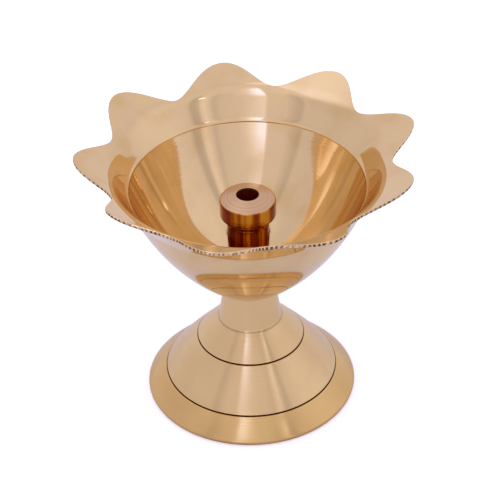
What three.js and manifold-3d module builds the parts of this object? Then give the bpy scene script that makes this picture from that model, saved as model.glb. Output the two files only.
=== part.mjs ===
// Lotus diya on a pedestal: a small brass oil lamp in turned pieces.
// Millimetres, +Z up. The origin is the middle of the ring that the foot stands on.
// The front of the lamp faces -Y. Run with Node and the packages three and manifold-3d.

import * as THREE from "three";
import { mergeVertices } from "three/addons/utils/BufferGeometryUtils.js";
import Module from "manifold-3d";

// ---- Driving dimensions ----

// Pedestal foot
const footRadius = 28.5;        // widest point, just above the edge it stands on
const footEdgeRound = 1.0;      // rounding of that edge
const restRingWidth = 2.2;      // flat ring that touches the table
const lowerGrooveRadius = 23.4;
const lowerGrooveHeight = 6.3;
const upperGrooveRadius = 14.6;
const upperGrooveHeight = 16.8;
const grooveWidth = 0.5;
const grooveDepth = 0.35;
const bandBulge = 0.2;          // how far each band of the foot bows out between its ends
const neckBaseRadius = 8.6;
const neckBaseHeight = 23.1;
const neckRadius = 7.8;
const neckTopRadius = 7.2;
const neckLength = 9.6;
const footWall = 2.2;           // cast wall over the hollow, measured level
const hollowCeiling = 19.5;
const hollowTopRadius = 4.5;

// Petal bowl
const wallAtRing = [0.9, 0.2];     // from the ring's outside to its inside: inwards, upwards
const wallAtBend = [0.6, 0.7];     // the same at the bend
const innerFootRadius = 8;         // where the inside wall rises from the floor
const innerFootPull = [5.8, 8.6];  // the inside wall leaves the floor this way, out and up
const innerRingPull = [9.05, 20.3]; // and comes up to the ring this way
const bowlFloor = 2.4;          // thickness of the flat floor that the post clamps
const ringRadius = 32.0;        // scribed ring where the wall turns out into petals
const ringRise = 32.4;          // height of that ring above the seat on the neck
const bellyRadius = 24.5;       // corner that the wall's curve is drawn towards
const bellyRise = 12.9;
const bendRadius = 36.7;        // where the petals bend out flatter
const bendRise = 39.0;
const bendRound = 2.4;          // length of the rounding each side of the bend
const petalSlope = 0.46;        // rise over run of the petals beyond the bend
const petalReach = 44.8;        // radius of a petal's tip
const valleyReach = 37.5;       // radius of the notch between two petals
const petalCount = 9;
const firstPetal = -8;          // degrees clockwise from the back, seen from above

// The petals are sawn and filed by hand, so each one strays a little from even spacing.
const tipDrift = [0, 2, 2, -2, 0, -1, 3, -4, -3];              // degrees
const tipTrim = [-0.4, 0.2, 0.8, -0.3, 0.3, -0.6, -2, 0, 0.2];  // mm
const valleyDrift = [0, 1, -1, 3, 0, 0, -4, -4, -3];           // degrees
const valleyTrim = [0, 0, 0.2, 0, -0.6, 0, 0, 0, -0.9];        // mm

// Wick post
const postHeight = 26.65;       // shoulder to the mouth of the wick bore
const flangeRadius = 7.5;
const flangeCrown = 1.4;        // how far the face falls from the bore to the flange's edge
const flangeEdgeRound = 0.7;
const flangeRim = 4.6;          // height of the flange's side, its rounded edge included
const flangeTaper = 2.4;        // height of the cone under the rim
const stemRadius = 5.6;
const wickBoreRadius = 3.0;
const wickBoreDepth = 25.2;
const feedHoleRadius = 1.5;     // cross hole that lets oil through to the wick
const feedHoleRise = 1.9;       // its axis above the shoulder
const shankRadius = 3.0;        // M6 screw shank, drawn at its outside diameter
const shankEngagement = 8.8;    // length screwed into the neck
const shankChamfer = 0.5;
const tapSpareDepth = 0.8;      // tapped hole runs on past the end of the shank

// Sealing washer
const washerThickness = 0.8;
const washerMargin = 0.2;       // its rim stands back from the stem's side

// Clearances
const seatGap = 0.05;           // between faces that rest on each other
const threadClearance = 0.08;   // around the shank in the tapped neck
const passClearance = 0.3;      // around the shank in the bowl's floor and the washer

// Facets
const turns = 60;
const smallTurns = 40;

// ---- Sizes that follow ----

const neckTopHeight = neckBaseHeight + neckLength;
const bowlSeatHeight = neckTopHeight + seatGap;
const floorHeight = bowlSeatHeight + bowlFloor;
const washerBottom = floorHeight + seatGap;
const washerTop = washerBottom + washerThickness;
const shoulderHeight = washerTop + seatGap;
const flangeHeight = shoulderHeight + postHeight;
const shankEnd = neckTopHeight - shankEngagement;
const tapBottom = shankEnd - tapSpareDepth;
const tapRadius = shankRadius + threadClearance;
const passRadius = shankRadius + passClearance;

// ---- Solids ----

const wasm = await Module();
wasm.setup();

function solidOf(geometry) {
  const bare = geometry.clone();
  bare.deleteAttribute("normal");
  bare.deleteAttribute("uv");
  const merged = mergeVertices(bare, 1e-4);
  const index = Array.from(merged.index.array);
  const kept = [];
  for (let i = 0; i < index.length; i += 3) {
    const [a, b, c] = index.slice(i, i + 3);
    if (a !== b && b !== c && c !== a) kept.push(a, b, c);
  }
  return new wasm.Manifold(new wasm.Mesh({
    numProp: 3,
    vertProperties: new Float32Array(merged.attributes.position.array),
    triVerts: new Uint32Array(kept),
  }));
}

function geometryOf(solid) {
  const mesh = solid.getMesh();
  const geometry = new THREE.BufferGeometry();
  geometry.setAttribute("position", new THREE.BufferAttribute(new Float32Array(mesh.vertProperties), 3));
  geometry.setIndex(new THREE.BufferAttribute(new Uint32Array(mesh.triVerts), 1));
  geometry.computeVertexNormals();
  return geometry;
}

// A turned solid about Z. The profile is [radius, height] pairs, anticlockwise round the metal.
function turned(profile, segments) {
  const points = profile.map(([radius, height]) => new THREE.Vector2(radius, height));
  return new THREE.LatheGeometry(points, segments).rotateX(Math.PI / 2);
}

const asPairs = (points) => points.map((point) => [point.x, point.y]);

// A stretch of profile from one point to another that bows out to its right by a small amount.
function bowed(from, to, bow, steps) {
  const start = new THREE.Vector2(...from);
  const end = new THREE.Vector2(...to);
  const along = end.clone().sub(start).normalize();
  const middle = start.clone().add(end).multiplyScalar(0.5);
  middle.add(new THREE.Vector2(along.y, -along.x).multiplyScalar(2 * bow));
  return asPairs(new THREE.QuadraticBezierCurve(start, middle, end).getPoints(steps));
}

// ---- Pedestal foot: cast hollow, turned outside, two V grooves, neck tapped from above ----

function footProfile() {
  const edgeCentre = [footRadius - footEdgeRound, footEdgeRound];
  const edge = [];
  const edgeSteps = 4;
  for (let i = 0; i <= edgeSteps; i += 1) {
    const angle = -Math.PI / 2 + (i / edgeSteps) * Math.PI * 0.75;
    edge.push([
      edgeCentre[0] + footEdgeRound * Math.cos(angle),
      edgeCentre[1] + footEdgeRound * Math.sin(angle),
    ]);
  }
  const flankTop = [neckBaseRadius, neckBaseHeight];
  const upper = [upperGrooveRadius, upperGrooveHeight];
  const lower = [lowerGrooveRadius, lowerGrooveHeight];
  const onFlank = grooveWidth / 2 / Math.SQRT2;
  const below = ([radius, height]) => [radius + onFlank, height - onFlank];
  const above = ([radius, height]) => [radius - onFlank, height + onFlank];
  const bottomOf = ([radius, height]) => [
    radius - grooveDepth / Math.SQRT2,
    height - grooveDepth / Math.SQRT2,
  ];
  const neckPull = 2 * neckRadius - (neckBaseRadius + neckTopRadius) / 2;
  const neck = new THREE.QuadraticBezierCurve(
    new THREE.Vector2(...flankTop),
    new THREE.Vector2(neckPull, neckBaseHeight + neckLength / 2),
    new THREE.Vector2(neckTopRadius, neckTopHeight),
  );
  const restInner = edgeCentre[0] - restRingWidth;
  const hollow = [
    [0, hollowCeiling],
    [hollowTopRadius, hollowCeiling],
    [upperGrooveRadius - footWall, upperGrooveHeight - footWall / 2],
    [lowerGrooveRadius - footWall, lowerGrooveHeight - footWall / 4],
    [restInner, 0],
  ];
  return [
    ...hollow,
    ...edge,
    ...bowed(edge[edgeSteps], below(lower), bandBulge, 4).slice(1),
    bottomOf(lower),
    ...bowed(above(lower), below(upper), bandBulge, 5),
    bottomOf(upper),
    ...bowed(above(upper), flankTop, bandBulge, 3),
    ...asPairs(neck.getPoints(5)).slice(1),
    [tapRadius, neckTopHeight],
    [tapRadius, tapBottom],
    [0, tapBottom],
  ];
}

// ---- Petal bowl: turned shell, then nine petals sawn out of the flared brim ----

// The line of the shell's outside, from the seat up to past the petal tips.
function bowlOutside() {
  const seat = new THREE.Vector2(neckTopRadius, bowlSeatHeight);
  const belly = new THREE.Vector2(bellyRadius, bowlSeatHeight + bellyRise);
  const ring = new THREE.Vector2(ringRadius, bowlSeatHeight + ringRise);
  const bend = new THREE.Vector2(bendRadius, bowlSeatHeight + bendRise);
  const spareRim = 2;
  const rimRun = petalReach + spareRim - bendRadius;
  const rim = new THREE.Vector2(bendRadius + rimRun, bend.y + petalSlope * rimRun);
  const towards = (target) => bend.clone().add(target.clone().sub(bend).setLength(bendRound));
  const wall = new THREE.QuadraticBezierCurve(seat, belly, ring).getPoints(9);
  const turn = new THREE.QuadraticBezierCurve(towards(ring), bend, towards(rim)).getPoints(4);
  return [...wall, ...turn, rim];
}

// The line of the shell's inside, from the floor up to past the petal tips. The wall is thickest
// low down and thins towards the brim.
function bowlInside() {
  const foot = new THREE.Vector2(innerFootRadius, floorHeight);
  const ring = new THREE.Vector2(ringRadius - wallAtRing[0], bowlSeatHeight + ringRise + wallAtRing[1]);
  const bend = new THREE.Vector2(bendRadius - wallAtBend[0], bowlSeatHeight + bendRise + wallAtBend[1]);
  const spareRim = 2;
  const rimRun = petalReach + spareRim - bend.x;
  const rim = new THREE.Vector2(bend.x + rimRun, bend.y + petalSlope * rimRun);
  const footPull = foot.clone().add(new THREE.Vector2(...innerFootPull));
  const ringPull = ring.clone().sub(new THREE.Vector2(...innerRingPull));
  const towards = (target) => bend.clone().add(target.clone().sub(bend).setLength(bendRound));
  const wall = new THREE.CubicBezierCurve(foot, footPull, ringPull, ring).getPoints(9);
  const turn = new THREE.QuadraticBezierCurve(towards(ring), bend, towards(rim)).getPoints(4);
  return [...wall, ...turn, rim];
}

function bowlProfile() {
  return [
    [passRadius, bowlSeatHeight],
    ...asPairs(bowlOutside()),
    ...asPairs(bowlInside().reverse()),
    [passRadius, floorHeight],
    [passRadius, bowlSeatHeight],
  ];
}

// Angles and reaches of the tips and notches in turn, round the whole rim.
function petalMarks() {
  const pitch = 360 / petalCount;
  const marks = [];
  for (let i = 0; i < petalCount; i += 1) {
    const even = firstPetal + i * pitch;
    const kind = i % tipDrift.length;
    marks.push({ turn: even + tipDrift[kind], reach: petalReach + tipTrim[kind] });
    marks.push({ turn: even + pitch / 2 + valleyDrift[kind], reach: valleyReach + valleyTrim[kind] });
  }
  marks.push({ turn: marks[0].turn + 360, reach: marks[0].reach });
  return marks;
}

// Plan outline of the petals: the reach swings from tip to notch and back as a cosine.
function petalOutline() {
  const outline = new THREE.Shape();
  const marks = petalMarks();
  const steps = 5;
  const points = [];
  for (let i = 0; i + 1 < marks.length; i += 1) {
    const [from, to] = [marks[i], marks[i + 1]];
    for (let step = 0; step < steps; step += 1) {
      const share = step / steps;
      const blend = (1 - Math.cos(Math.PI * share)) / 2;
      const reach = from.reach + (to.reach - from.reach) * blend;
      const azimuth = THREE.MathUtils.degToRad(from.turn + (to.turn - from.turn) * share);
      points.push(new THREE.Vector2(reach * Math.sin(azimuth), reach * Math.cos(azimuth)));
    }
  }
  outline.setFromPoints(points);
  return outline;
}

function petalBowl() {
  const shell = solidOf(turned(bowlProfile(), turns));
  const height = 2 * (bowlSeatHeight + bendRise);
  const cutter = new THREE.ExtrudeGeometry(petalOutline(), { depth: height, bevelEnabled: false });
  return geometryOf(shell.intersect(solidOf(cutter)));
}

// ---- Wick post: turned from bar, bored for the wick, cross-drilled, screw shank below ----

function wickPost() {
  const edgeHeight = flangeHeight - flangeCrown;
  const taperTop = edgeHeight - flangeRim;
  const faceEdge = flangeRadius - flangeEdgeRound;
  const faceFall = flangeCrown / (flangeRadius - wickBoreRadius);
  const edge = new THREE.QuadraticBezierCurve(
    new THREE.Vector2(flangeRadius, edgeHeight - flangeEdgeRound),
    new THREE.Vector2(flangeRadius, edgeHeight),
    new THREE.Vector2(faceEdge, edgeHeight + faceFall * flangeEdgeRound),
  );
  const profile = [
    [0, shankEnd],
    [shankRadius - shankChamfer, shankEnd],
    [shankRadius, shankEnd + shankChamfer],
    [shankRadius, shoulderHeight],
    [stemRadius, shoulderHeight],
    [stemRadius, taperTop - flangeTaper],
    [flangeRadius, taperTop],
    ...asPairs(edge.getPoints(3)),
    [wickBoreRadius, flangeHeight],
    [wickBoreRadius, flangeHeight - wickBoreDepth],
    [0, flangeHeight - wickBoreDepth],
  ];
  const drill = new THREE.CylinderGeometry(feedHoleRadius, feedHoleRadius, 4 * stemRadius, 20);
  drill.rotateZ(Math.PI / 2).translate(0, 0, shoulderHeight + feedHoleRise);
  return geometryOf(solidOf(turned(profile, smallTurns)).subtract(solidOf(drill)));
}

// ---- Sealing washer: punched fibre ring, snug on the shank under the post's shoulder ----

function sealingWasher() {
  const rim = stemRadius - washerMargin;
  const profile = [
    [passRadius, washerBottom],
    [rim, washerBottom],
    [rim, washerTop],
    [passRadius, washerTop],
    [passRadius, washerBottom],
  ];
  return turned(profile, smallTurns);
}

// ---- Assembly ----

const satinBrass = new THREE.MeshStandardMaterial({ color: 0xd2a873, roughness: 0.32, metalness: 1 });
const brightBrass = new THREE.MeshStandardMaterial({ color: 0xdcb27c, roughness: 0.14, metalness: 1 });
const machinedBrass = new THREE.MeshStandardMaterial({ color: 0xd8a868, roughness: 0.22, metalness: 1 });
const redFibre = new THREE.MeshStandardMaterial({ color: 0x7a2f22, roughness: 0.8, metalness: 0 });

function piece(name, geometry, material) {
  const mesh = new THREE.Mesh(geometry, material);
  mesh.name = name;
  return mesh;
}

const diya = new THREE.Group();
diya.add(
  piece("pedestal_foot", turned(footProfile(), turns), satinBrass),
  piece("petal_bowl", petalBowl(), brightBrass),
  piece("sealing_washer", sealingWasher(), redFibre),
  piece("wick_post", wickPost(), machinedBrass),
);

export default diya;
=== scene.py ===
# A brass oil lamp in the shape of a lotus, put together from the foot up.
import math

import bpy
import numpy as np
from mathutils import Matrix, Vector


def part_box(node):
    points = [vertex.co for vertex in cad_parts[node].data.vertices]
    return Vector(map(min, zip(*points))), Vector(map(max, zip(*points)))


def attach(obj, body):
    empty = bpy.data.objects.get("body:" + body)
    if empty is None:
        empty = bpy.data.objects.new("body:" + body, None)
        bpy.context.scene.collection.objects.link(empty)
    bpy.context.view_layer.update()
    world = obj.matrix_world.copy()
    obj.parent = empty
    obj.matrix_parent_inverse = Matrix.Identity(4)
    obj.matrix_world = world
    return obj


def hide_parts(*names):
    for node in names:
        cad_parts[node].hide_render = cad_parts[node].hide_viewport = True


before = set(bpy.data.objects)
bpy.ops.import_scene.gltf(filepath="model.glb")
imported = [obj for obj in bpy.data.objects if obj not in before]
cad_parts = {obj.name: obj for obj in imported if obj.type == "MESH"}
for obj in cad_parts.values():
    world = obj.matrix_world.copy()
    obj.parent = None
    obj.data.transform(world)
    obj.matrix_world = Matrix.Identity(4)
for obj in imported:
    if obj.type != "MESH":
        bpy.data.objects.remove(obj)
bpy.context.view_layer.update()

scene = bpy.context.scene


# ---- Camera ----
# A long lens about 0.6 m off, looking down into the bowl at 36 degrees.

camera_place = Vector((0.0, -0.468, 0.3916))
camera_pitch = math.radians(36.43)
camera_yaw = math.radians(-0.12)
camera_roll = math.radians(-1.37)

ahead = Vector((
    math.sin(camera_yaw) * math.cos(camera_pitch),
    math.cos(camera_yaw) * math.cos(camera_pitch),
    -math.sin(camera_pitch),
))
level = ahead.cross(Vector((0, 0, 1))).normalized()
upright = level.cross(ahead)
across = level * math.cos(camera_roll) + upright * math.sin(camera_roll)
up = upright * math.cos(camera_roll) - level * math.sin(camera_roll)
lens = bpy.data.cameras.new("camera")
lens.sensor_width = 36.0
lens.lens = 160.6
camera = bpy.data.objects.new("camera", lens)
turn = Matrix((across, up, -ahead)).transposed()
camera.matrix_world = Matrix.Translation(camera_place) @ turn.to_4x4()
scene.collection.objects.link(camera)
scene.camera = camera


# ---- Pedestal foot ----
# A hollow cone with a short neck, cast in yellow brass and turned all over on the outside.
# Two scribed grooves part the cone into bands. The neck is tapped M6 from above, and the
# hollow underneath is left as it came out of the sand.

MM = 0.001

foot_radius = 28.5
foot_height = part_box("pedestal_foot")[1].z / MM
foot_edge_round = 1.0
rest_ring_inner = 25.3
lower_groove = (23.4, 6.3)
upper_groove = (14.6, 16.8)
groove_width = 0.5
groove_depth = 0.42
groove_lip = 0.14
groove_bottom_round = 0.1
band_bulge = 0.2
neck_base = (8.6, 23.1)
neck_waist = 7.7
neck_top_radius = 7.2
hollow_ceiling = 19.5
hollow_ceiling_radius = 4.5
hollow_shoulder = (12.4, 15.7)
hollow_foot = (21.2, 5.75)
tap_radius = 3.08
tap_bottom = 23.1
tap_chamfer = 0.4
thread_pitch = 1.0
thread_depth = 0.5
thread_run_out = 0.8
sharp_angle = 38


def bezier(start, pull, end, steps):
    """Points of a quadratic curve that leaves start towards pull and reaches end coming from pull."""
    t = np.linspace(0, 1, steps + 1)[:, None]
    start, pull, end = np.array(start, float), np.array(pull, float), np.array(end, float)
    return (1 - t) ** 2 * start + 2 * t * (1 - t) * pull + t ** 2 * end


def arc(centre, radius, first, last, steps):
    """Points of a circle about centre, from the first to the last angle in degrees."""
    angle = np.radians(np.linspace(first, last, steps + 1))
    return np.stack([centre[0] + radius * np.cos(angle), centre[1] + radius * np.sin(angle)], 1)


def bowed(start, end, bulge, steps):
    """A nearly straight line from start to end that bows out to its right by bulge at the middle."""
    start, end = np.array(start, float), np.array(end, float)
    along = (end - start) / np.linalg.norm(end - start)
    pull = (start + end) / 2 + 2 * bulge * np.array([along[1], -along[0]])
    return bezier(start, pull, end, steps)


def softened(corners, cuts, steps=5):
    """A line through the corners, where each corner is cut back by its own length both ways and
    replaced by a quadratic curve; the two ends stay as they are."""
    corners = np.array(corners, float)
    line = [corners[:1]]
    for before, corner, after, cut in zip(corners[:-2], corners[1:-1], corners[2:], cuts):
        back = corner + (before - corner) / np.linalg.norm(before - corner) * cut
        on = corner + (after - corner) / np.linalg.norm(after - corner) * cut
        line.append(bezier(back, corner, on, steps))
    return np.concatenate(line + [corners[-1:]])


def distance_along(line):
    """Length of the line from its first point to each of its points."""
    steps = np.linalg.norm(np.diff(line, axis=0), axis=1)
    return np.concatenate([[0], np.cumsum(steps)])


def carried_round(line, columns):
    """The line of (radius, height) points at every angle round Z: x is radius times cosine, y is
    radius times sine, z is height. Gives rows by columns by 3."""
    angle = np.arange(columns) * 2 * np.pi / columns
    radius, height = line[:, :1], line[:, 1:]
    return np.stack([radius * np.cos(angle), radius * np.sin(angle), height + 0 * angle], -1)


def skin(name, points, travel, capped):
    """A closed mesh over a grid of points, rows by columns by 3, in millimetres. The columns join
    round. The rows join round too, or, on a capped piece, the first and last row are one point
    each. The UV map holds the share of a turn and the travel along the rows in millimetres."""
    rows, columns = points.shape[:2]
    turn_share = np.arange(columns + 1) / columns
    if capped:
        ring = points[1:-1]
        ring_travel = travel[1:-1]
        number = np.arange(ring.shape[0] * columns).reshape(-1, columns)
        low, high = number[:-1], number[1:]
        low_v, high_v = ring_travel[:-1], ring_travel[1:]
    else:
        ring = points
        number = np.arange(rows * columns).reshape(rows, columns)
        low, high = number, np.roll(number, -1, 0)
        low_v, high_v = travel, np.append(travel[1:], travel[-1] + (travel[-1] - travel[-2]))
    quads = np.stack([low, np.roll(low, -1, 1), np.roll(high, -1, 1), high], -1).reshape(-1, 4)
    u_left = np.broadcast_to(turn_share[:-1], low.shape)
    u_right = np.broadcast_to(turn_share[1:], low.shape)
    v_low = np.broadcast_to(low_v[:, None], low.shape)
    v_high = np.broadcast_to(high_v[:, None], low.shape)
    corner_uv = [u_left, v_low, u_right, v_low, u_right, v_high, u_left, v_high]
    uv = np.stack(corner_uv, -1).reshape(-1, 2)
    places = ring.reshape(-1, 3)
    faces = quads.tolist()
    if capped:
        first, last = len(places), len(places) + 1
        places = np.concatenate([places, points[0, :1], points[-1, :1]])
        bottom, top = number[0], number[-1]
        start_fan = np.stack([bottom * 0 + first, np.roll(bottom, -1), bottom], -1)
        end_fan = np.stack([top, np.roll(top, -1), top * 0 + last], -1)
        faces += start_fan.tolist() + end_fan.tolist()
        left, right = turn_share[:-1], turn_share[1:]
        middle = (left + right) / 2
        start_tip, start_ring, end_ring, end_tip = (
            np.full(columns, travel[row]) for row in (0, 1, -2, -1))
        start_uv = np.stack([middle, start_tip, right, start_ring, left, start_ring], -1)
        end_uv = np.stack([left, end_ring, right, end_ring, middle, end_tip], -1)
        uv = np.concatenate([uv, start_uv.reshape(-1, 2), end_uv.reshape(-1, 2)])
    mesh = bpy.data.meshes.new(name)
    mesh.from_pydata((places * MM).tolist(), [], faces)
    mesh.uv_layers.new(name="turning").data.foreach_set("uv", uv.astype(np.float32).ravel())
    mesh.shade_smooth()
    mesh.set_sharp_from_angle(angle=math.radians(sharp_angle))
    mesh.validate()
    piece = bpy.data.objects.new(name, mesh)
    scene.collection.objects.link(piece)
    return piece


def mark(piece, name, values):
    """A number on each point of the piece, which a material reads by name."""
    numbers = piece.data.attributes.new(name, "FLOAT", "POINT")
    numbers.data.foreach_set("value", np.asarray(values, np.float32).ravel())


def linear(code):
    """The linear colour of an sRGB hex value."""
    parts = np.array([int(code[i:i + 2], 16) for i in (0, 2, 4)]) / 255
    parts = np.where(parts <= 0.04045, parts / 12.92, ((parts + 0.055) / 1.055) ** 2.4)
    return (*parts.tolist(), 1.0)


def add_node(tree, kind, inputs=None, **settings):
    """A node with its settings, whose inputs are set to a value or linked to another's output."""
    node = tree.nodes.new(kind)
    for setting, value in settings.items():
        setattr(node, setting, value)
    for key, value in (inputs or {}).items():
        if isinstance(value, bpy.types.NodeSocket):
            tree.links.new(value, node.inputs[key])
        else:
            node.inputs[key].default_value = value
    return node


def new_material(name):
    """A material with a Principled shader: (material, node tree, shader)."""
    material = bpy.data.materials.new(name)
    material.use_nodes = True
    return material, material.node_tree, material.node_tree.nodes["Principled BSDF"]


def set_blends(node, stops):
    """Gives a Color Ramp its stops, each a place from 0 to 1 and a linear colour."""
    ramp = node.color_ramp
    while len(ramp.elements) < len(stops):
        ramp.elements.new(0.5)
    for element, (place, colour) in zip(ramp.elements, stops):
        element.position = place
        element.color = colour


def groove_line(middle, direction):
    """A V groove with rolled lips across a line that runs in the given direction: the points from
    one lip to the other, and how deep each lies as a share of the whole depth."""
    along = np.array(direction, float) / np.linalg.norm(direction)
    inward = np.array([-along[1], along[0]])
    middle = np.array(middle)
    half = groove_width / 2
    corners = [
        middle - along * (half + groove_lip),
        middle - along * half,
        middle + inward * groove_depth,
        middle + along * half,
        middle + along * (half + groove_lip),
    ]
    line = softened(corners, [groove_lip * 0.9, groove_bottom_round, groove_lip * 0.9], 4)
    depth = np.clip((line - middle) @ inward / groove_depth, 0, 1)
    return line, depth


foot_edge = arc((foot_radius - foot_edge_round, foot_edge_round), foot_edge_round, -90, 45, 12)
lower_line, lower_depth = groove_line(lower_groove, (-1, 1))
upper_line, upper_depth = groove_line(upper_groove, (-1, 1))
hollow_line = softened(
    [(0, hollow_ceiling), (hollow_ceiling_radius, hollow_ceiling), hollow_shoulder, hollow_foot,
     (rest_ring_inner, 0)],
    [1.5, 2.0, 3.0], 4)
edge_and_first_band = np.concatenate([
    foot_edge,
    bowed(foot_edge[-1], lower_line[0], band_bulge * 0.5, 10)[1:-1],
])
middle_band = bowed(lower_line[-1], upper_line[0], band_bulge, 16)[1:-1]
upper_band = bowed(upper_line[-1], neck_base, band_bulge * 0.8, 12)[1:]
neck_line = bezier(neck_base, (neck_waist, (neck_base[1] + foot_height) / 2),
                   (neck_top_radius, foot_height), 14)[1:]
tap_rows = np.linspace(foot_height - tap_chamfer, tap_bottom, 90)
tap_line = np.stack([np.full(len(tap_rows), tap_radius), tap_rows], 1)
tap_mouth = np.array([(tap_radius + tap_chamfer, foot_height)])
tap_floor = np.array([(0, tap_bottom)])

foot_parts = [hollow_line, edge_and_first_band, lower_line, middle_band, upper_line, upper_band,
              neck_line, tap_mouth, tap_line, tap_floor]
foot_line = np.concatenate(foot_parts)
first_row = np.cumsum([0] + [len(part) for part in foot_parts])
foot_columns = 360
foot_points = carried_round(foot_line, foot_columns)

# The M6 thread in the neck: the hole's wall stands back in a triangular wave that climbs one
# pitch in each turn, and dies away at both ends.
angle_share = np.arange(foot_columns) / foot_columns
climb = tap_rows[:, None] / thread_pitch - angle_share
wave = np.abs((climb % 1) * 2 - 1)
starts = np.clip((foot_height - thread_run_out - tap_rows) / thread_run_out, 0, 1)
ends = np.clip((tap_rows - tap_bottom) / thread_run_out, 0, 1)
widened = 1 + thread_depth * wave * (starts * ends)[:, None] / tap_radius
foot_points[first_row[8]:first_row[9], :, :2] *= widened[..., None]

foot = skin("foot_turned", foot_points, distance_along(foot_line), capped=True)

# How much old polish lies on each row: full at a groove's bottom, a trace at the neck's foot.
grime_rows = np.zeros(len(foot_line))
grime_rows[first_row[2]:first_row[3]] = lower_depth
grime_rows[first_row[4]:first_row[5]] = upper_depth
grime_rows[first_row[6] - 1] = 0.3
ring_grime = np.repeat(grime_rows[1:-1], foot_columns)
mark(foot, "grime", np.append(ring_grime, [0, 0]))

# Turned yellow brass with a satin finish: fine tool marks run round the piece, so lights smear
# into streaks up and down the cone. Old polish has dried dark brown in the grooves. The lowest
# band is a little more golden, and it turns darker and redder towards the bottom edge: painted
# shade where the foot stands on the table, with some patina. The marks of the tool's feed are
# drawn about three times as coarse as the real 0.1 mm, so that they show.
satin_brass, tree, shader = new_material("Satin-turned brass")
turning = add_node(tree, "ShaderNodeUVMap", uv_map="turning")
spots = add_node(tree, "ShaderNodeTexCoord").outputs["Object"]
split = add_node(tree, "ShaderNodeSeparateXYZ", {"Vector": turning.outputs["UV"]})
tool_mark_spacing = 0.35
tool_marks = add_node(
    tree, "ShaderNodeTexNoise",
    {"W": add_node(tree, "ShaderNodeMath", {0: split.outputs["Y"], 1: 1 / tool_mark_spacing},
                   operation="MULTIPLY").outputs[0], "Scale": 1.0, "Detail": 3.0, "Roughness": 0.6},
    noise_dimensions="1D")
foot_cloud_size = 14.0
clouds = add_node(tree, "ShaderNodeTexNoise",
                  {"Vector": spots, "Scale": 1 / (foot_cloud_size * MM), "Detail": 3.0,
                   "Roughness": 0.5})
tint = add_node(tree, "ShaderNodeValToRGB", {"Fac": clouds.outputs["Fac"]})
set_blends(tint, [(0.3, linear("e0bd85")), (0.7, linear("e9c98f"))])
lines_tint = add_node(
    tree, "ShaderNodeMix",
    {"Factor": add_node(tree, "ShaderNodeMapRange",
                        {"Value": tool_marks.outputs["Fac"], "From Min": 0.35, "From Max": 0.7,
                         "To Min": 0.0, "To Max": 0.3}).outputs[0],
     "A": tint.outputs["Color"], "B": linear("dab47e")}, data_type="RGBA")
# Painted shade with some patina: the lowest band is tinted a little more golden and darkens to a redder
# brown over its bottom 1.4 mm or so, where the foot stands on the table.
low_band_top = lower_groove[1] * 1.1
height = add_node(tree, "ShaderNodeSeparateXYZ", {"Vector": spots}).outputs["Z"]
height_share = add_node(tree, "ShaderNodeMapRange",
                        {"Value": height, "From Max": low_band_top * MM}).outputs[0]
bottom_shade_and_patina = add_node(tree, "ShaderNodeValToRGB", {"Fac": height_share})
set_blends(bottom_shade_and_patina, [(0.0, linear("d0a880")), (0.2, linear("f9f0da")), (0.86, linear("f9f0da")),
                     (0.95, linear("ffffff"))])
shade_and_patina_tint = add_node(tree, "ShaderNodeMix", {"Factor": 1.0, "A": lines_tint.outputs["Result"],
                                             "B": bottom_shade_and_patina.outputs["Color"]},
                     data_type="RGBA", blend_type="MULTIPLY")
grime = add_node(tree, "ShaderNodeAttribute", attribute_name="grime")
grime_cover = add_node(tree, "ShaderNodeMapRange",
                       {"Value": grime.outputs["Fac"], "From Min": 0.1, "From Max": 0.55})
dirty = add_node(tree, "ShaderNodeMix",
                 {"Factor": grime_cover.outputs[0], "A": shade_and_patina_tint.outputs["Result"],
                  "B": linear("6e4822")}, data_type="RGBA")
tree.links.new(dirty.outputs["Result"], shader.inputs["Base Color"])
rough = add_node(tree, "ShaderNodeMapRange",
                 {"Value": tool_marks.outputs["Fac"], "From Min": 0.3, "From Max": 0.7,
                  "To Min": 0.15, "To Max": 0.22})
tree.links.new(rough.outputs[0], shader.inputs["Roughness"])
bump = add_node(tree, "ShaderNodeBump",
                {"Height": tool_marks.outputs["Fac"], "Strength": 0.12, "Distance": 0.02 * MM})
tree.links.new(bump.outputs["Normal"], shader.inputs["Normal"])
tangent = add_node(tree, "ShaderNodeTangent", direction_type="UV_MAP", uv_map="turning")
tree.links.new(tangent.outputs[0], shader.inputs["Tangent"])
shader.inputs["Metallic"].default_value = 1.0
shader.inputs["Anisotropic"].default_value = 0.85
shader.inputs["Anisotropic Rotation"].default_value = 0.25

# Cast brass as it came from a sand mould: dull, brown and pitted, with the sand's grain drawn at
# twice its real size, so that it shows.
cast_brass, tree, shader = new_material("Sand-cast brass, dull brown")
spots = add_node(tree, "ShaderNodeTexCoord").outputs["Object"]
sand_grain = 0.6
grain = add_node(tree, "ShaderNodeTexNoise",
                 {"Vector": spots, "Scale": 1 / (sand_grain * MM), "Detail": 5.0, "Roughness": 0.65})
stain_size = 9.0
stain = add_node(tree, "ShaderNodeTexNoise",
                 {"Vector": spots, "Scale": 1 / (stain_size * MM), "Detail": 4.0, "Roughness": 0.6})
cast_tint = add_node(tree, "ShaderNodeValToRGB", {"Fac": stain.outputs["Fac"]})
set_blends(cast_tint, [(0.3, linear("6b4a2a")), (0.7, linear("a5794a"))])
tree.links.new(cast_tint.outputs["Color"], shader.inputs["Base Color"])
pits = add_node(tree, "ShaderNodeBump",
                {"Height": grain.outputs["Fac"], "Strength": 0.9, "Distance": 0.15 * MM})
tree.links.new(pits.outputs["Normal"], shader.inputs["Normal"])
shader.inputs["Metallic"].default_value = 1.0
shader.inputs["Roughness"].default_value = 0.62

foot.data.materials.append(satin_brass)
foot.data.materials.append(cast_brass)
face_rows = np.repeat(np.arange(len(foot_line) - 3), foot_columns)
as_cast = face_rows < len(hollow_line) - 2
fan_casts = np.repeat([True, False], foot_columns)
foot.data.polygons.foreach_set("material_index", np.append(as_cast, fan_casts).astype(np.int32))
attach(foot, "foot")
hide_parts("pedestal_foot")


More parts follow.
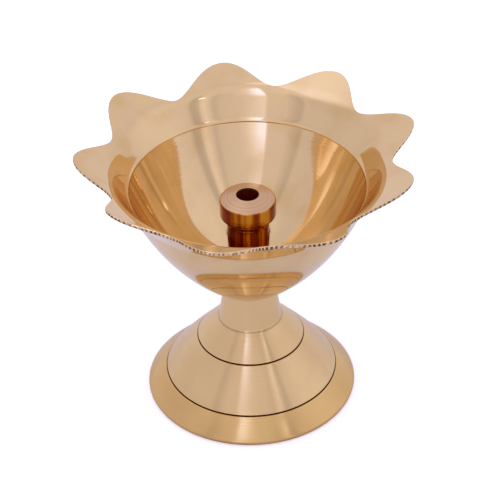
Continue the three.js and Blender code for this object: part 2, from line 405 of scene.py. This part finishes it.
# ---- Petal bowl ----
# A bowl turned from a brass casting, thick low down and thin at the rim, and polished to a
# mirror, with a fine raised ring where the wall turns outwards. Nine petals are sawn out of its
# flared brim with a piercing saw, and the cut edge is left rough from the file.

seat_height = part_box("petal_bowl")[0].z / MM
floor_thickness = 2.4
pass_radius = 3.3
seat = (neck_top_radius, seat_height)
belly = (24.5, seat_height + 12.9)
ring = (32.0, seat_height + 32.4)
bend = (36.7, seat_height + 39.0)
bend_round = 2.4
petal_slope = 0.46
petal_reach = 44.8
valley_reach = 37.5
petal_count = 9
first_petal = -8.0
# Each tip's and notch's own error, in degrees round and in millimetres of reach: sawn by hand.
tip_drift = np.array([0, 2, 2, -2, 0, -1, 3, -4, -3])
tip_trim = np.array([-0.4, 0.2, 0.8, -0.3, 0.3, -0.6, -2, 0, 0.2])
valley_drift = np.array([0, 1, -1, 3, 0, 0, -4, -4, -3])
valley_trim = np.array([0, 0, 0.2, 0, -0.6, 0, 0, 0, -0.9])
inner_foot = (8.0, seat_height + floor_thickness)
inner_foot_pull = (13.8, seat_height + 11.0)
inner_ring_pull = (22.05, seat_height + 12.3)
inner_ring = (31.1, seat_height + 32.6)
inner_bend = (36.1, seat_height + 39.7)
inner_bend_round = 2.2
bead_width = 0.44
bead_height = 0.06
bead_margin = 0.7 * bead_width
tooth_spacing = 1.3
tooth_depth = 0.24
tooth_wander = 1.3
edge_bevel = 0.2
edge_bulge = 0.06
bevel_bite_share = 0.1
floor_corner = 0.5
floor_seat_radius = 5.9
pass_chamfer = 0.25
seat_chamfer = 0.2
seat_ring_radius = 5.0
bowl_columns = 900


def towards(start, end, length):
    """The point that lies the given length from start on the way to end."""
    start, end = np.array(start, float), np.array(end, float)
    return start + (end - start) / np.linalg.norm(end - start) * length


def cubic(start, first_pull, last_pull, end, steps):
    """Points of a cubic curve that leaves start towards first_pull and comes to end from last_pull."""
    t = np.linspace(0, 1, steps + 1)[:, None]
    points = np.array([start, first_pull, last_pull, end], float)
    return ((1 - t) ** 3 * points[0] + 3 * t * (1 - t) ** 2 * points[1]
            + 3 * t ** 2 * (1 - t) * points[2] + t ** 3 * points[3])


def wall_line(belly_curve, corner, corner_round):
    """The belly's curve up to the ring, a straight stretch to the bend, the rounded bend, and the
    brim, which rises at the petals' slope to beyond every tip."""
    far_reach = petal_reach + 4.0
    far_rim = (far_reach, corner[1] + petal_slope * (far_reach - corner[0]))
    bend_starts = towards(corner, belly_curve[-1], corner_round)
    bend_ends = towards(corner, far_rim, corner_round)
    return np.concatenate([
        belly_curve,
        np.linspace(belly_curve[-1], bend_starts, 30)[1:],
        bezier(bend_starts, corner, bend_ends, 40)[1:],
        np.linspace(bend_ends, far_rim, 80)[1:],
    ])


belly_steps = 160
outside = wall_line(bezier(seat, belly, ring, belly_steps), bend, bend_round)
inside = wall_line(cubic(inner_foot, inner_foot_pull, inner_ring_pull, inner_ring, belly_steps),
                   inner_bend, inner_bend_round)
outside_travel = distance_along(outside)
ring_travel = outside_travel[belly_steps]

# Petal outline: the reach swings from tip to notch and back as a cosine between marks.
pitch = 360 / petal_count
tip_angles = first_petal + np.arange(petal_count) * pitch + tip_drift
notch_angles = first_petal + (np.arange(petal_count) + 0.5) * pitch + valley_drift
mark_angles = np.stack([tip_angles, notch_angles], 1).ravel()
mark_reaches = np.stack([petal_reach + tip_trim, valley_reach + valley_trim], 1).ravel()
mark_angles = np.append(mark_angles, mark_angles[0] + 360)
mark_reaches = np.append(mark_reaches, mark_reaches[0])
bowl_angles = np.arange(bowl_columns) * 2 * np.pi / bowl_columns
clockwise_from_back = (90 - np.degrees(bowl_angles) - mark_angles[0]) % 360 + mark_angles[0]
span = np.clip(np.searchsorted(mark_angles, clockwise_from_back, "right") - 1, 0, 2 * petal_count - 1)
share = (clockwise_from_back - mark_angles[span]) / (mark_angles[span + 1] - mark_angles[span])
swing = (1 - np.cos(np.pi * share)) / 2
reach = mark_reaches[span] + (mark_reaches[span + 1] - mark_reaches[span]) * swing

# File teeth along the cut edge: a wave of uneven pitch and depth, seeded so it never changes,
# whose wander dies away over the last columns so that the row of teeth meets its start.
chance = np.random.default_rng(7)
tooth_count = round(2 * math.pi * petal_reach / tooth_spacing)
wander_marks, strength_marks = 60, 91
wander = np.interp(bowl_angles, np.linspace(0, 2 * np.pi, wander_marks + 1),
                   np.append(chance.normal(0, tooth_wander, wander_marks), 0))
closing_columns = 15
wander[-closing_columns:] *= np.linspace(1, 0, closing_columns)
teeth = 0.5 + 0.5 * np.sin(tooth_count * bowl_angles + wander * 2)
tooth_strength = np.interp(bowl_angles, np.linspace(0, 2 * np.pi, strength_marks),
                           chance.uniform(0.2, 1.0, strength_marks) ** 1.2)
bite = tooth_depth * teeth * tooth_strength

# Rows of the section: up the outside, over the cut edge, down the inside past the raised ring,
# across the floor and down through the hole for the post.
wall_rows = 26
brim_rows = 16
wall_shares = np.linspace(0, 1, wall_rows)
brim_shares = np.linspace(0, 1, brim_rows + 1)[1:]


def wall_at(line, travel):
    """Radius and height on a wall line at each travel up the outside from the seat."""
    return [np.interp(travel, outside_travel, line[:, part]) for part in (0, 1)]


def brim(line, cut_reach):
    """The stretch of a wall line from the raised ring to where it comes to the cut reach, at
    every angle: rows by columns of radius and height."""
    cut_travel = np.interp(cut_reach, line[:, 0], outside_travel)
    brim_starts = ring_travel + bead_margin
    travel = brim_starts + (cut_travel - brim_starts) * brim_shares[:, None]
    return wall_at(line, travel)


def level_rows(radii, heights):
    """The same radius and height at every angle."""
    ones = np.ones(bowl_columns)
    return np.outer(radii, ones), np.outer(heights, ones)


floor_height = seat_height + floor_thickness
outer_wall = level_rows(*wall_at(outside, wall_shares * ring_travel))
inner_travel = wall_shares * (ring_travel - bead_margin)
inner_wall = level_rows(*wall_at(inside, inner_travel[::-1]))
bead_angles = np.radians([0, 35, 70, 110, 145, 180])
bead_radii, bead_heights = wall_at(inside, ring_travel + bead_width / 2 * np.cos(bead_angles))
bead = level_rows(bead_radii - bead_height * np.sin(bead_angles), bead_heights)
outer_brim = brim(outside, reach - bite)
inner_brim = [rows[::-1] for rows in brim(inside, reach - edge_bevel - bevel_bite_share * bite)]

# The cut edge runs from the outer brim to the inner one, bulging outwards a little, and the last
# strip is the bevel where the polish has rounded it over.
edge_shares = np.array([0.1, 0.35, 0.62, 0.85])[:, None]
edge_radius = (outer_brim[0][-1] * (1 - edge_shares) + (inner_brim[0][0] + edge_bevel) * edge_shares
               + edge_bulge * np.sin(np.pi * edge_shares))
edge_height = outer_brim[1][-1] * (1 - edge_shares) + inner_brim[1][0] * edge_shares
floor_and_hole = level_rows(*np.transpose([
    (inner_foot[0] - floor_corner, floor_height),
    (floor_seat_radius, floor_height),
    (pass_radius + pass_chamfer, floor_height),
    (pass_radius, floor_height - pass_chamfer),
    (pass_radius, seat_height + seat_chamfer),
    (pass_radius + seat_chamfer, seat_height),
    (seat_ring_radius, seat_height),
]))
edge = (edge_radius, edge_height)
section = [outer_wall, outer_brim, edge, inner_brim, bead, inner_wall, floor_and_hole]
bowl_radius, bowl_height = (np.concatenate([rows[part] for rows in section]) for part in (0, 1))
bowl_points = np.stack([bowl_radius * np.cos(bowl_angles), bowl_radius * np.sin(bowl_angles),
                        bowl_height], -1)
middle_line = np.stack([bowl_radius[:, 0], bowl_height[:, 0]], 1)
bowl = skin("bowl_polished", bowl_points, distance_along(middle_line), capped=False)
mark(bowl, "bite", np.tile(bite / tooth_depth, len(bowl_radius)))

# Polished cast brass: a warm pale mirror that deepens to gold where the wall sees itself, with
# faint rings left by the lathe and the clouding of a hand-rubbed surface. The rings are spaced
# wide enough to show.
polished_brass, tree, shader = new_material("Polished yellow brass")
turning = add_node(tree, "ShaderNodeUVMap", uv_map="turning")
spots = add_node(tree, "ShaderNodeTexCoord").outputs["Object"]
split = add_node(tree, "ShaderNodeSeparateXYZ", {"Vector": turning.outputs["UV"]})
lathe_ring_spacing = 0.8
rings = add_node(
    tree, "ShaderNodeTexNoise",
    {"W": add_node(tree, "ShaderNodeMath", {0: split.outputs["Y"], 1: 1 / lathe_ring_spacing},
                   operation="MULTIPLY").outputs[0], "Scale": 1.0, "Detail": 3.0, "Roughness": 0.6},
    noise_dimensions="1D")
bowl_cloud_size = 9.0
clouds = add_node(tree, "ShaderNodeTexNoise",
                  {"Vector": spots, "Scale": 1 / (bowl_cloud_size * MM), "Detail": 3.0,
                   "Roughness": 0.5})
tint = add_node(tree, "ShaderNodeValToRGB", {"Fac": clouds.outputs["Fac"]})
set_blends(tint, [(0.32, linear("e1bf84")), (0.5, linear("e7c693")), (0.68, linear("e8ca90"))])
tree.links.new(tint.outputs["Color"], shader.inputs["Base Color"])
rough = add_node(tree, "ShaderNodeMapRange",
                 {"Value": clouds.outputs["Fac"], "From Min": 0.3, "From Max": 0.7,
                  "To Min": 0.035, "To Max": 0.065})
tree.links.new(rough.outputs[0], shader.inputs["Roughness"])
bump = add_node(tree, "ShaderNodeBump",
                {"Height": rings.outputs["Fac"], "Strength": 0.14, "Distance": 0.02 * MM})
tree.links.new(bump.outputs["Normal"], shader.inputs["Normal"])
shader.inputs["Metallic"].default_value = 1.0

# The sawn and filed edge: raw brass gone dark brown, with bright flecks on the high teeth.
sawn_edge, tree, shader = new_material("Sawn brass edge, tarnished")
spots = add_node(tree, "ShaderNodeTexCoord").outputs["Object"]
file_scratch = 0.45
scratches = add_node(tree, "ShaderNodeTexNoise",
                     {"Vector": spots, "Scale": 1 / (file_scratch * MM), "Detail": 3.0})
bite_here = add_node(tree, "ShaderNodeAttribute", attribute_name="bite")
bite_darkening = 0.62
brightness = add_node(tree, "ShaderNodeMath",
                      {0: bite_here.outputs["Fac"], 1: -bite_darkening,
                       2: scratches.outputs["Fac"]}, operation="MULTIPLY_ADD")
edge_tint = add_node(tree, "ShaderNodeValToRGB", {"Fac": brightness.outputs[0]})
set_blends(edge_tint, [(0.02, linear("46301f")), (0.26, linear("94704c")), (0.42, linear("ecd2ac"))])
tree.links.new(edge_tint.outputs["Color"], shader.inputs["Base Color"])
bump = add_node(tree, "ShaderNodeBump",
                {"Height": scratches.outputs["Fac"], "Strength": 1.0, "Distance": 0.1 * MM})
tree.links.new(bump.outputs["Normal"], shader.inputs["Normal"])
shader.inputs["Metallic"].default_value = 1.0
shader.inputs["Roughness"].default_value = 0.6

bowl.data.materials.append(polished_brass)
bowl.data.materials.append(sawn_edge)
edge_first = wall_rows + brim_rows - 1
face_rows = np.repeat(np.arange(len(bowl_radius)), bowl_columns)
on_edge = (face_rows >= edge_first) & (face_rows < edge_first + len(edge_shares))
bowl.data.polygons.foreach_set("material_index", on_edge.astype(np.int32))
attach(bowl, "bowl")
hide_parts("petal_bowl")


# ---- Sealing washer ----
# A thin ring punched from red vulcanised fibre. The post's shoulder squeezes it on the bowl's
# floor, so that oil can't creep down the screw.

washer_low, washer_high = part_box("sealing_washer")
washer_columns = 160
washer_rim = washer_high.y / MM
washer_bottom, washer_top = washer_low.z / MM, washer_high.z / MM
half_way = (pass_radius, (washer_bottom + washer_top) / 2)
washer_corners = [half_way, (pass_radius, washer_bottom), (washer_rim, washer_bottom),
                  (washer_rim, washer_top), (pass_radius, washer_top), half_way]
inner_round, outer_round = 0.08, 0.16
washer_line = softened(washer_corners, [inner_round, outer_round, outer_round, inner_round], 4)[:-1]
washer = skin("washer_fibre", carried_round(washer_line, washer_columns),
              distance_along(washer_line), capped=False)

# Red vulcanised fibre: dense matt paper board, oil-darkened, with a fine felted grain.
fibre, tree, shader = new_material("Red vulcanised fibre, oiled")
spots = add_node(tree, "ShaderNodeTexCoord").outputs["Object"]
felt_size = 0.5
felt = add_node(tree, "ShaderNodeTexNoise",
                {"Vector": spots, "Scale": 1 / (felt_size * MM), "Detail": 4.0, "Roughness": 0.6})
felt_tint = add_node(tree, "ShaderNodeValToRGB", {"Fac": felt.outputs["Fac"]})
set_blends(felt_tint, [(0.35, linear("5c1f18")), (0.7, linear("8c3a2a"))])
tree.links.new(felt_tint.outputs["Color"], shader.inputs["Base Color"])
bump = add_node(tree, "ShaderNodeBump",
                {"Height": felt.outputs["Fac"], "Strength": 0.5, "Distance": 0.03 * MM})
tree.links.new(bump.outputs["Normal"], shader.inputs["Normal"])
shader.inputs["Roughness"].default_value = 0.55
washer.data.materials.append(fibre)
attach(washer, "washer")
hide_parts("sealing_washer")


# ---- Wick post ----
# Turned from brass bar: a stem with a wide crowned head, bored down the middle for the cotton
# wick and cross-drilled at its foot to let the oil in. Its M6 shank passes through the
# washer and the bowl's floor and screws into the neck, which holds the lamp together.

post_low, post_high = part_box("wick_post")
head_height = post_high.z / MM
shank_end = post_low.z / MM
washer_gap = 0.05
shoulder_height = washer_top + washer_gap
head_radius = 7.5
head_crown = 1.4
head_edge_round = 0.7
head_side_overlap = 1.6
head_rim = 4.6
head_taper = 2.4
stem_radius = 5.6
wick_bore_radius = 3.0
wick_bore_depth = 25.2
wick_bore_lip = 1.0
wick_bore_lip_round = 0.18
drill_point = 1.0
feed_hole_radius = 1.5
feed_hole_rise = 1.9
shank_radius = 3.0
shank_chamfer = 0.5

head_edge = head_height - head_crown
taper_top = head_edge - head_rim
shank_rows = np.linspace(shank_end + shank_chamfer, shoulder_height - 0.01, 120)
shank_line = np.concatenate([
    [(0, shank_end), (shank_radius - shank_chamfer, shank_end)],
    np.stack([np.full(len(shank_rows), shank_radius), shank_rows], 1),
])
stem_line = softened(
    [(shank_radius, shoulder_height), (stem_radius, shoulder_height),
     (stem_radius, taper_top - head_taper), (head_radius, taper_top), (head_radius, head_edge)],
    [0.25, 0.7, 0.45], 6)[:-1]
crown_line = softened(
    [(head_radius, head_edge - head_side_overlap), (head_radius, head_edge),
     (wick_bore_radius, head_height), (wick_bore_radius, head_height - wick_bore_lip)],
    [head_edge_round, wick_bore_lip_round], 8)
bore_bottom = head_height - wick_bore_depth
bore_line = np.array([(wick_bore_radius, head_height - 12), (wick_bore_radius, bore_bottom),
                      (0, bore_bottom - drill_point)])

# Rows 7 and 8 are the two ends of the stem's long straight side, which gets rows in between.
stem_share = np.linspace(0, 1, 30)[1:-1, None]
stem_side = stem_line[7] * (1 - stem_share) + stem_line[8] * stem_share
post_line = np.concatenate([shank_line, stem_line[:8], stem_side, stem_line[8:], crown_line,
                            bore_line])
post_columns = 256
post_points = carried_round(post_line, post_columns)

# The M6 thread on the shank, cut into it so that its crests stay on the plain diameter.
angle_share = np.arange(post_columns) / post_columns
climb = shank_rows[:, None] / thread_pitch - angle_share
groove_wave = 1 - np.abs((climb % 1) * 2 - 1)
lead_in, plain_neck, neck_run_out = 0.3, 1.4, 0.6
starts = np.clip((shank_rows - shank_end - lead_in) / thread_run_out, 0, 1)
ends = np.clip((shoulder_height - plain_neck - shank_rows) / neck_run_out, 0, 1)
narrowed = 1 - thread_depth * groove_wave * (starts * ends)[:, None] / shank_radius
post_points[2:2 + len(shank_rows), :, :2] *= narrowed[..., None]
post = skin("post_turned", post_points, distance_along(post_line), capped=True)

# The feed hole is drilled right through the stem, along X.
drill_reach = 9.0
drill_line = np.array([(0, -drill_reach), (feed_hole_radius, -drill_reach),
                       (feed_hole_radius, drill_reach), (0, drill_reach)])
drill_points = carried_round(drill_line, 48)[..., [2, 0, 1]]
drill_points[..., 2] += shoulder_height + feed_hole_rise
drill = skin("drill", drill_points, distance_along(drill_line), capped=True)
drilled = post.modifiers.new("feed hole", "BOOLEAN")
drilled.operation = "DIFFERENCE"
drilled.object = drill
drilled.solver = "EXACT"
finished = bpy.data.meshes.new_from_object(post.evaluated_get(bpy.context.evaluated_depsgraph_get()))
post.modifiers.clear()
post.data = finished
bpy.data.objects.remove(drill)

# Machined brass bar: the crown is faced bright, with concentric tool marks drawn coarse enough to
# show. The sides are smooth, and are painted in streaks from copper red to gold round the stem:
# painted reflections of the bowl. The bore is painted a deeper red: painted shade and
# inter-reflection deep in the hole.
machined_brass, tree, shader = new_material("Machined brass bar")
turning = add_node(tree, "ShaderNodeUVMap", uv_map="turning")
split = add_node(tree, "ShaderNodeSeparateXYZ", {"Vector": turning.outputs["UV"]})
head_mark_spacing = 0.5
head_marks = add_node(
    tree, "ShaderNodeTexNoise",
    {"W": add_node(tree, "ShaderNodeMath", {0: split.outputs["Y"], 1: 1 / head_mark_spacing},
                   operation="MULTIPLY").outputs[0], "Scale": 1.0, "Detail": 2.0, "Roughness": 0.6},
    noise_dimensions="1D")
bar_tint = add_node(tree, "ShaderNodeValToRGB", {"Fac": head_marks.outputs["Fac"]})
set_blends(bar_tint, [(0.35, linear("cfa478")), (0.65, linear("dcb48a"))])

# The crown's finish starts about half way over the head's rounded edge, and the bore's painted
# shade just inside the bore's lip.
post_travel = distance_along(post_line)
bore_row = len(post_line) - len(bore_line)
crown_travel = post_travel[bore_row - len(crown_line) + 6]
bore_travel = post_travel[bore_row - 1]
on_crown = add_node(tree, "ShaderNodeMapRange",
                    {"Value": split.outputs["Y"], "From Min": crown_travel - 0.2,
                     "From Max": crown_travel + 0.2}).outputs[0]
streak_count = 9
streaks = add_node(
    tree, "ShaderNodeTexNoise",
    {"W": add_node(tree, "ShaderNodeMath", {0: split.outputs["X"], 1: streak_count},
                   operation="MULTIPLY").outputs[0], "Scale": 1.0, "Detail": 2.0, "Roughness": 0.5},
    noise_dimensions="1D")
# Painted reflection: streaks from copper red to gold round the stem stand in for the bowl's reflections
# in it.
painted_reflection_streaks = add_node(tree, "ShaderNodeValToRGB", {"Fac": streaks.outputs["Fac"]})
set_blends(painted_reflection_streaks, [(0.4, linear("7e3016")), (0.5, linear("a4601c")), (0.6, linear("d09a3a"))])
bar_colour = add_node(tree, "ShaderNodeMix", {"Factor": on_crown, "A": painted_reflection_streaks.outputs["Color"],
                                              "B": bar_tint.outputs["Color"]}, data_type="RGBA")
in_bore = add_node(tree, "ShaderNodeMapRange",
                   {"Value": split.outputs["Y"], "From Min": bore_travel - 0.4,
                    "From Max": bore_travel}).outputs[0]
# Painted shade: the bore turns a deeper red just inside its lip, for the light lost deep in the hole.
with_painted_bore_shade = add_node(tree, "ShaderNodeMix", {"Factor": in_bore, "A": bar_colour.outputs["Result"],
                                          "B": linear("d8664e")}, data_type="RGBA")
tree.links.new(with_painted_bore_shade.outputs["Result"], shader.inputs["Base Color"])
bump = add_node(tree, "ShaderNodeBump",
                {"Height": head_marks.outputs["Fac"], "Strength": 0.25, "Distance": 0.03 * MM})
tree.links.new(bump.outputs["Normal"], shader.inputs["Normal"])
tangent = add_node(tree, "ShaderNodeTangent", direction_type="UV_MAP", uv_map="turning")
tree.links.new(tangent.outputs[0], shader.inputs["Tangent"])
rough = add_node(tree, "ShaderNodeMapRange", {"Value": on_crown, "To Min": 0.06, "To Max": 0.3})
tree.links.new(rough.outputs[0], shader.inputs["Roughness"])
shader.inputs["Metallic"].default_value = 1.0
shader.inputs["Anisotropic"].default_value = 0.4
shader.inputs["Anisotropic Rotation"].default_value = 0.25
post.data.materials.clear()
post.data.materials.append(machined_brass)
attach(post, "post")
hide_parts("wick_post")


# ---- Table ----
# A sheet of white opal acrylic lit faintly from below. It glows more to the eye than in the
# metal, whose underside would otherwise lose its shade.

table_size = 3.0
corners = np.array([(-1, -1, 0), (1, -1, 0), (1, 1, 0), (-1, 1, 0)]) * table_size / 2
table_mesh = bpy.data.meshes.new("table")
table_mesh.from_pydata(corners.tolist(), [], [(0, 1, 2, 3)])
table = bpy.data.objects.new("table", table_mesh)
scene.collection.objects.link(table)
opal, tree, shader = new_material("Opal acrylic, lit from below")
shader.inputs["Base Color"].default_value = linear("f2f3f5")
shader.inputs["Roughness"].default_value = 0.9
shader.inputs["Specular IOR Level"].default_value = 0.1
shader.inputs["Emission Color"].default_value = linear("fafafa")
glow_in_metal, glow_in_view = 0.02, 0.44
seen_directly = add_node(tree, "ShaderNodeLightPath").outputs["Is Camera Ray"]
glow = add_node(tree, "ShaderNodeMapRange",
                {"Value": seen_directly, "To Min": glow_in_metal, "To Max": glow_in_view})
tree.links.new(glow.outputs[0], shader.inputs["Emission Strength"])
table_mesh.materials.append(opal)


# ---- Light ----
# A light tent of white cloth, drawn as the world: walls with soft light and dark folds, a bright
# roof, one cool panel in front, and a small lamp to the right of the camera.

# Brightness by compass direction in degrees: 0 is the front, where the camera stands, and 90 is
# the right. The panel's heights give its share by degrees above the table.
wall_brightness = [
    (-180, 0.82), (-140, 0.80), (-118, 0.75), (-90, 0.73), (-55, 0.75), (-51, 0.62), (-46, 0.68),
    (-38, 0.80), (-20, 0.82), (0, 0.82), (8, 0.82),
    (24, 0.77), (29, 0.68), (34, 0.84), (38, 0.95), (41, 0.88), (44, 0.64), (49, 0.60), (54, 0.80),
    (75, 0.88), (95, 0.88), (118, 0.78), (180, 0.82),
]
panel_brightness = [
    (-180, 0), (-20, 0), (-18.5, 0.74), (-12, 0.62), (-6, 0.34), (0, 0.12), (8, 0), (180, 0),
]
panel_heights = [(0, 0.8), (18, 0.8), (29, 0.2), (40, 0.3), (48, 1), (66, 1), (76, 0)]
roof_brightness = [
    (-180, 0.86), (-150, 0.90), (-125, 1.12), (-75, 1.16), (-60, 0.92), (-30, 0.88), (0, 0.86),
    (40, 0.84), (70, 0.79), (110, 0.80), (180, 0.85),
]
roof_starts, roof_full = 44, 62
panel_tint = (0.95, 1.05, 1.5, 1)
lamp_compass, lamp_height, lamp_half_width = 42, 46, 2.6
lamp_glare = (0.9, 0.9, 0.9, 1)
dim_tint, bright_tint = (1.01, 0.98, 1.22, 1), (0.95, 1.03, 1.55, 1)
dim_below, bright_above = 0.5, 0.68
backdrop_white = (0.48, 0.48, 0.48, 1)
tent_strength = 2.0


def brightness_round(tree, turn_share, stops):
    """A Color Ramp of grey brightness by compass direction, from -180 to 180 degrees. The ramp
    holds half the brightness, which the tent's strength doubles again."""
    ramp = add_node(tree, "ShaderNodeValToRGB", {"Fac": turn_share})
    set_blends(ramp, [((angle + 180) / 360, (value / 2,) * 3 + (1,)) for angle, value in stops])
    return ramp.outputs["Color"]


world = bpy.data.worlds.new("tent")
scene.world = world
world.use_nodes = True
tree = world.node_tree
outwards = add_node(tree, "ShaderNodeTexCoord").outputs["Generated"]
direction = add_node(tree, "ShaderNodeSeparateXYZ", {"Vector": outwards})
to_front = add_node(tree, "ShaderNodeMath", {0: direction.outputs["Y"], 1: -1.0}, operation="MULTIPLY")
compass = add_node(tree, "ShaderNodeMath", {0: direction.outputs["X"], 1: to_front.outputs[0]},
                   operation="ARCTAN2")
turn_share = add_node(tree, "ShaderNodeMapRange",
                      {"Value": compass.outputs[0], "From Min": -math.pi, "From Max": math.pi}).outputs[0]
walls = brightness_round(tree, turn_share, wall_brightness)
roof = brightness_round(tree, turn_share, roof_brightness)
roof_share = add_node(tree, "ShaderNodeMapRange",
                      {"Value": direction.outputs["Z"],
                       "From Min": math.sin(math.radians(roof_starts)),
                       "From Max": math.sin(math.radians(roof_full))},
                      interpolation_type="SMOOTHSTEP").outputs[0]
cloth = add_node(tree, "ShaderNodeMix", {"Factor": roof_share, "A": walls, "B": roof}, data_type="RGBA")
panel = brightness_round(tree, turn_share, panel_brightness)
panel_share = add_node(tree, "ShaderNodeValToRGB", {"Fac": direction.outputs["Z"]})
set_blends(panel_share, [(math.sin(math.radians(height)), (value,) * 3 + (1,))
                         for height, value in panel_heights])
cool_panel = add_node(tree, "ShaderNodeMix", {"Factor": 1.0, "A": panel, "B": panel_tint},
                      data_type="RGBA", blend_type="MULTIPLY")
tent = add_node(tree, "ShaderNodeMix",
                {"Factor": panel_share.outputs["Color"], "A": cloth.outputs["Result"],
                 "B": cool_panel.outputs["Result"]}, data_type="RGBA", blend_type="ADD")

# The lamp is a soft disc: full over six tenths of its width, then fading to nothing.
level_share = math.cos(math.radians(lamp_height))
lamp_direction = (math.sin(math.radians(lamp_compass)) * level_share,
                  -math.cos(math.radians(lamp_compass)) * level_share,
                  math.sin(math.radians(lamp_height)))
towards_lamp = add_node(tree, "ShaderNodeVectorMath", {0: outwards, 1: lamp_direction},
                        operation="DOT_PRODUCT")
lamp_share = add_node(tree, "ShaderNodeMapRange",
                      {"Value": towards_lamp.outputs["Value"],
                       "From Min": math.cos(math.radians(lamp_half_width)),
                       "From Max": math.cos(math.radians(lamp_half_width) * 0.6)}).outputs[0]
tent = add_node(tree, "ShaderNodeMix", {"Factor": lamp_share, "A": tent.outputs["Result"],
                                        "B": lamp_glare}, data_type="RGBA")

# The cloth's light is cool, and cooler still where it is bright. To the eye, though not in the
# metal, the tent is an even white.
redness = add_node(tree, "ShaderNodeSeparateColor", {"Color": tent.outputs["Result"]}).outputs["Red"]
cool_share = add_node(tree, "ShaderNodeMapRange",
                      {"Value": redness, "From Min": dim_below, "From Max": bright_above}).outputs[0]
cloth_tint = add_node(tree, "ShaderNodeMix", {"Factor": cool_share, "A": dim_tint,
                                              "B": bright_tint}, data_type="RGBA")
lit = add_node(tree, "ShaderNodeMix", {"Factor": 1.0, "A": tent.outputs["Result"],
                                       "B": cloth_tint.outputs["Result"]},
               data_type="RGBA", blend_type="MULTIPLY")
seen_directly = add_node(tree, "ShaderNodeLightPath").outputs["Is Camera Ray"]
backdrop = add_node(tree, "ShaderNodeMix", {"Factor": seen_directly, "A": lit.outputs["Result"],
                                            "B": backdrop_white}, data_type="RGBA")
tree.links.new(backdrop.outputs["Result"], tree.nodes["Background"].inputs["Color"])
tree.nodes["Background"].inputs["Strength"].default_value = tent_strength

scene.view_settings.view_transform = "Standard"

# Light goes round inside the bowl many times before it leaves.
scene.cycles.glossy_bounces = 12
scene.cycles.max_bounces = 12
